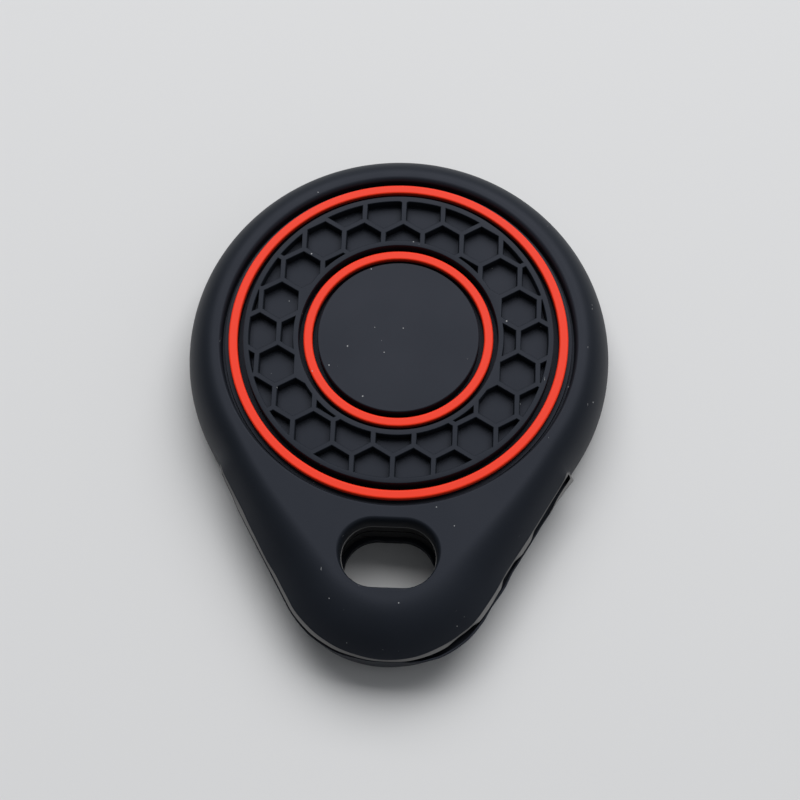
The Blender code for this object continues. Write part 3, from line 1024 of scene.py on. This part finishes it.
def make_pad(material):
    """The smooth disc in the middle."""
    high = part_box("centre_pad")[1] / MM
    skin = Skin()
    rows = [(high.x, RECESS_FLOOR + INLAY_FOOT)]
    for distance, drop in round_over(0.0, PAD_EDGE, PAD_EDGE, EDGE_STEPS)[::-1]:
        rows.append((high.x - distance, high.z - drop))
    rows.append((high.x - PAD_EDGE - HOLD, high.z))
    loops = [skin.loop(circle(r), z) for r, z in rows]
    skin.bands(loops)
    skin.cap(loops[0])
    skin.cap(loops[-1])
    piece = skin.finish("centre_pad_inlay", [material])
    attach(piece, "sleeve")
    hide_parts("centre_pad")


def crossing(start, end, radius):
    """Where a line from start to end meets a circle about the Z axis."""
    run = end - start
    a, b, c = run @ run, 2 * start @ run, start @ start - radius**2
    root = math.sqrt(b * b - 4 * a * c)
    shares = [(-b - root) / (2 * a), (-b + root) / (2 * a)]
    share = next(s for s in shares if 0 <= s <= 1)
    return start + run * share


def trimmed(points, radius, keep_inside):
    """An outline cut by a circle about the Z axis, with arcs where it was cut."""
    kept = []
    for start, end in zip(points, np.roll(points, -1, axis=0)):
        start_kept = (np.linalg.norm(start) <= radius) == keep_inside
        end_kept = (np.linalg.norm(end) <= radius) == keep_inside
        if start_kept:
            kept.append(start)
        if start_kept != end_kept:
            kept.append(crossing(start, end, radius))
    result = []
    for start, end in zip(kept, kept[1:] + kept[:1]):
        result.append(start)
        on_circle = [abs(np.linalg.norm(p) - radius) < MERGE_DISTANCE for p in (start, end)]
        if all(on_circle):
            first = math.atan2(start[1], start[0])
            swing = math.remainder(math.atan2(end[1], end[0]) - first, 2 * math.pi)
            steps = math.ceil(abs(swing) * radius / ARC_STEP)
            for step in range(1, steps):
                angle = first + swing * step / steps
                result.append(radius * np.array([math.cos(angle), math.sin(angle)]))
    return np.array(result).reshape(-1, 2)


def area(points):
    """The area inside an outline."""
    x, y = points.T
    return abs(x @ np.roll(y, -1) - y @ np.roll(x, -1)) / 2


def grown(points, distance):
    """An anticlockwise outline moved outwards by distance, or inwards where it is negative."""
    run = np.roll(points, -1, axis=0) - points
    run /= np.linalg.norm(run, axis=1)[:, None]
    after = np.stack([run[:, 1], -run[:, 0]], axis=1)
    before = np.roll(after, 1, axis=0)
    meeting = np.maximum(1 + (before * after).sum(axis=1), SHARPEST_MITRE)
    return points + distance * (before + after) / meeting[:, None]


def honeycomb_cells(inner, outer):
    """The outlines of the pockets, trimmed to the band between the rims.

    They are regular hexagons that stand on a corner, and every other row is shifted by half a pitch.
    """
    corner = (HEX_PITCH - RIB_WIDTH) / math.sqrt(3)
    angles = np.radians(30 + 60 * np.arange(6))
    hexagon = corner * np.stack([np.cos(angles), np.sin(angles)], axis=1)
    row_pitch = HEX_PITCH * math.sqrt(3) / 2
    rows = math.ceil(outer / row_pitch)
    columns = math.ceil(outer / HEX_PITCH) + 1
    cells = []
    for row in range(-rows, rows + 1):
        shift = 0.0 if row % 2 else 0.5
        for column in range(-columns, columns + 1):
            cell = hexagon + ((column + shift) * HEX_PITCH, row * row_pitch)
            for radius, keep_inside in ((outer, True), (inner, False)):
                cell = trimmed(cell, radius, keep_inside)
            if len(cell) > 2 and area(cell) > SMALLEST_CELL_SHARE * area(hexagon):
                cells.append(cell)
    return cells


def make_honeycomb(material):
    """The honeycomb band between the rings."""
    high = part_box("honeycomb_ring")[1] / MM
    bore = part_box("inner_ring")[1].x / MM + INNER_GROOVE
    foot = RECESS_FLOOR + INLAY_FOOT
    skin = Skin()
    over = round_over(0.0, HONEYCOMB_EDGE, HONEYCOMB_EDGE, EDGE_STEPS)
    outer = [skin.loop(circle(high.x - distance), high.z - drop) for distance, drop in over]
    outer.append(skin.loop(circle(high.x), foot))
    inner = [skin.loop(circle(bore + distance), high.z - drop) for distance, drop in over]
    inner.append(skin.loop(circle(bore), foot))
    skin.bands(outer)
    skin.bands(inner)
    skin.band(outer[-1], inner[-1])
    mouths = []
    for cell in honeycomb_cells(bore + HONEYCOMB_INNER_RIM, high.x - HONEYCOMB_OUTER_RIM):
        mouth = skin.loop(grown(cell, CELL_BEVEL), high.z)
        edge = skin.loop(cell, high.z - CELL_BEVEL)
        floor = skin.loop(grown(cell, -CELL_DRAFT), high.z - CELL_DEPTH)
        skin.bands([mouth, edge, floor])
        skin.cap(floor)
        mouths.append(mouth)
    skin.flat(outer[0], [inner[0], *mouths])
    piece = skin.finish("honeycomb_inlay", [material])
    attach(piece, "sleeve")
    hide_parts("honeycomb_ring")


def tag_wall_loops(skin, up, face, seam, pocket):
    """Loops from the face of half a case over its rounded edge and its seam into its pocket."""
    edge = SleeveEdge()
    rows = [(TAG_INSET + TAG_EDGE + FACE_MARGIN, face)]
    for distance, drop in round_over(TAG_INSET, TAG_EDGE, TAG_EDGE, ROLL_STEPS):
        rows.append((distance, face - up * drop))
    rows += [
        (TAG_INSET, seam + up * SEAM_CHAMFER),
        (TAG_INSET + SEAM_CHAMFER, seam),
        (TAG_INSET + TAG_WALL, seam),
        (TAG_INSET + TAG_WALL, pocket),
    ]
    return [skin.loop(edge.inset(inset), height) for inset, height in rows]


def tag_hole_loops(skin, up, face, seam, pocket):
    """Loops from the face of half a case through its keyring hole and round the boss inside."""
    wall = TAG_HOLE_STEP + HOLE_BOSS_WALL
    rows = [(TAG_HOLE_STEP + TAG_HOLE_ROUND + FACE_MARGIN, face)]
    for distance, drop in round_over(TAG_HOLE_STEP, TAG_HOLE_ROUND, TAG_HOLE_ROUND, EDGE_STEPS):
        rows.append((distance, face - up * drop))
    rows += [(TAG_HOLE_STEP, seam), (wall, seam), (wall, pocket)]
    return [skin.loop(stadium(step), height) for step, height in rows]


def add_coil_former(skin, up, pocket):
    """The ring in the pocket that the coil lies around. Returns its outer foot."""
    bore = former_radius - FORMER_WALL
    top = pocket - up * FORMER_HEIGHT
    rows = [(former_radius, pocket), (former_radius, top), (bore, top), (bore, pocket)]
    former = [skin.loop(circle(r, FORMER_STEPS), z) for r, z in rows]
    skin.bands(former)
    skin.cap(former[-1])
    return former[0]


def make_tag_case(node, material, up, has_former):
    """Half of the tag's case. up is 1 for the front half and -1 for the back half."""
    low, high = (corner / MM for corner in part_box(node))
    face, seam = (high.z, low.z) if up > 0 else (low.z, high.z)
    pocket = face - up * TAG_SKIN
    skin = Skin()
    wall = tag_wall_loops(skin, up, face, seam, pocket)
    skin.bands(wall)
    hole = tag_hole_loops(skin, up, face, seam, pocket)
    skin.bands(hole)
    skin.flat(wall[0], [hole[0]])
    floor_holes = [hole[-1]]
    if has_former:
        floor_holes.append(add_coil_former(skin, up, pocket))
    skin.flat(wall[-1], floor_holes)
    piece = skin.finish(node + "_shell", [material])
    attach(piece, "tag")
    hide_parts(node)


def finish_node(node, material):
    """Give a solid that stays its material."""
    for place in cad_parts[node].material_slots:
        place.material = material


def make_floor():
    """The plain pale floor."""
    material = bpy.data.materials.new("pale_floor")
    material.use_nodes = True
    shader = material.node_tree.nodes["Principled BSDF"]
    shader.inputs["Base Color"].default_value = opaque(FLOOR_COLOUR)
    shader.inputs["Roughness"].default_value = FLOOR_ROUGHNESS
    shader.inputs["Specular IOR Level"].default_value = FLOOR_SPECULAR
    mesh = bpy.data.meshes.new("floor")
    half = FLOOR_SIZE / 2
    corners = [(-half, -half), (half, -half), (half, half), (-half, half)]
    mesh.from_pydata([(x, y, FLOOR_HEIGHT) for x, y in corners], [], [(0, 1, 2, 3)])
    mesh.materials.append(material)
    floor = bpy.data.objects.new("floor", mesh)
    bpy.context.scene.collection.objects.link(floor)


def make_world():
    """Pale surroundings, dimmer on the left and on the near side.

    What the camera and reflections see of them has a strength of its own.
    """
    world = bpy.data.worlds.new("studio")
    bpy.context.scene.world = world
    world.use_nodes = True
    tree = world.node_tree
    path = add_node(tree, "ShaderNodeLightPath")
    seen = maths(tree, "MAXIMUM", path.outputs["Is Camera Ray"], path.outputs["Is Glossy Ray"])
    seen = maths(tree, "MAXIMUM", seen, path.outputs["Is Transmission Ray"])
    direction = add_node(tree, "ShaderNodeTexCoord").outputs["Generated"]
    # towards runs from -1 to 1, and side from 0, the dim side, to 1
    towards = vector_maths(tree, "DOT_PRODUCT", direction, WORLD_SIDE, output="Value")
    side = maths(tree, "ADD", maths(tree, "MULTIPLY", towards, 0.5), 0.5)
    light = spread_between(tree, side, *WORLD_LIGHT)
    look = spread_between(tree, side, *WORLD_LOOK)
    strength = spread_between(tree, seen, light, look)
    background = tree.nodes["Background"]
    background.inputs["Color"].default_value = opaque(WORLD_COLOUR)
    tree.links.new(strength, background.inputs["Strength"])


def make_lamp():
    """One broad soft lamp, high beyond the round end."""
    light = bpy.data.lights.new("softbox", "AREA")
    light.shape = "RECTANGLE"
    light.size, light.size_y = LAMP_SIZE
    light.energy = LAMP_POWER
    light.color = LAMP_COLOUR
    lamp = bpy.data.objects.new("softbox", light)
    lamp.location = LAMP_PLACE
    lamp.rotation_euler = (-Vector(LAMP_PLACE)).to_track_quat("-Z", "Y").to_euler()
    bpy.context.scene.collection.objects.link(lamp)


def make_camera():
    """The camera, where the photograph was taken from."""
    data = bpy.data.cameras.new("camera")
    data.lens = CAMERA_LENS
    data.sensor_width = CAMERA_SENSOR
    data.clip_start = CAMERA_CLIP_START
    camera = bpy.data.objects.new("camera", data)
    back = Vector(CAMERA_BACK).normalized()
    right = Vector(CAMERA_UP).cross(back).normalized()
    turn = Matrix([right, back.cross(right), back]).transposed()
    camera.matrix_world = Matrix.Translation(Vector(CAMERA_PLACE) * MM) @ turn.to_4x4()
    bpy.context.scene.collection.objects.link(camera)
    bpy.context.scene.camera = camera


def main():
    """Dress the holder, light it and look at it from the photograph's angle."""
    silicone = black_silicone()
    cut = cut_silicone_and_highlight()
    orange = orange_silicone()
    satin = satin_silicone()
    plastic = tag_plastic()
    resin = black_resin()
    board = green_board()
    copper = copper_wire()
    solder = bright_solder()

    make_sleeve([silicone, cut])
    make_ring("outer_ring", [silicone, orange])
    make_ring("inner_ring", [silicone, orange])
    make_honeycomb(silicone)
    make_pad(satin)
    make_tag_case("tag_front_case", plastic, 1, has_former=False)
    make_tag_case("tag_back_case", plastic, -1, has_former=True)
    for node in ("antenna_coil", "coil_lead_a", "coil_lead_b"):
        finish_node(node, copper)
    for node in ("solder_joint_a", "solder_joint_b"):
        finish_node(node, solder)
    finish_node("chip_board", board)
    finish_node("chip_cap", resin)

    make_floor()
    make_world()
    make_lamp()
    make_camera()
    bpy.context.scene.view_settings.view_transform = "Standard"


main()
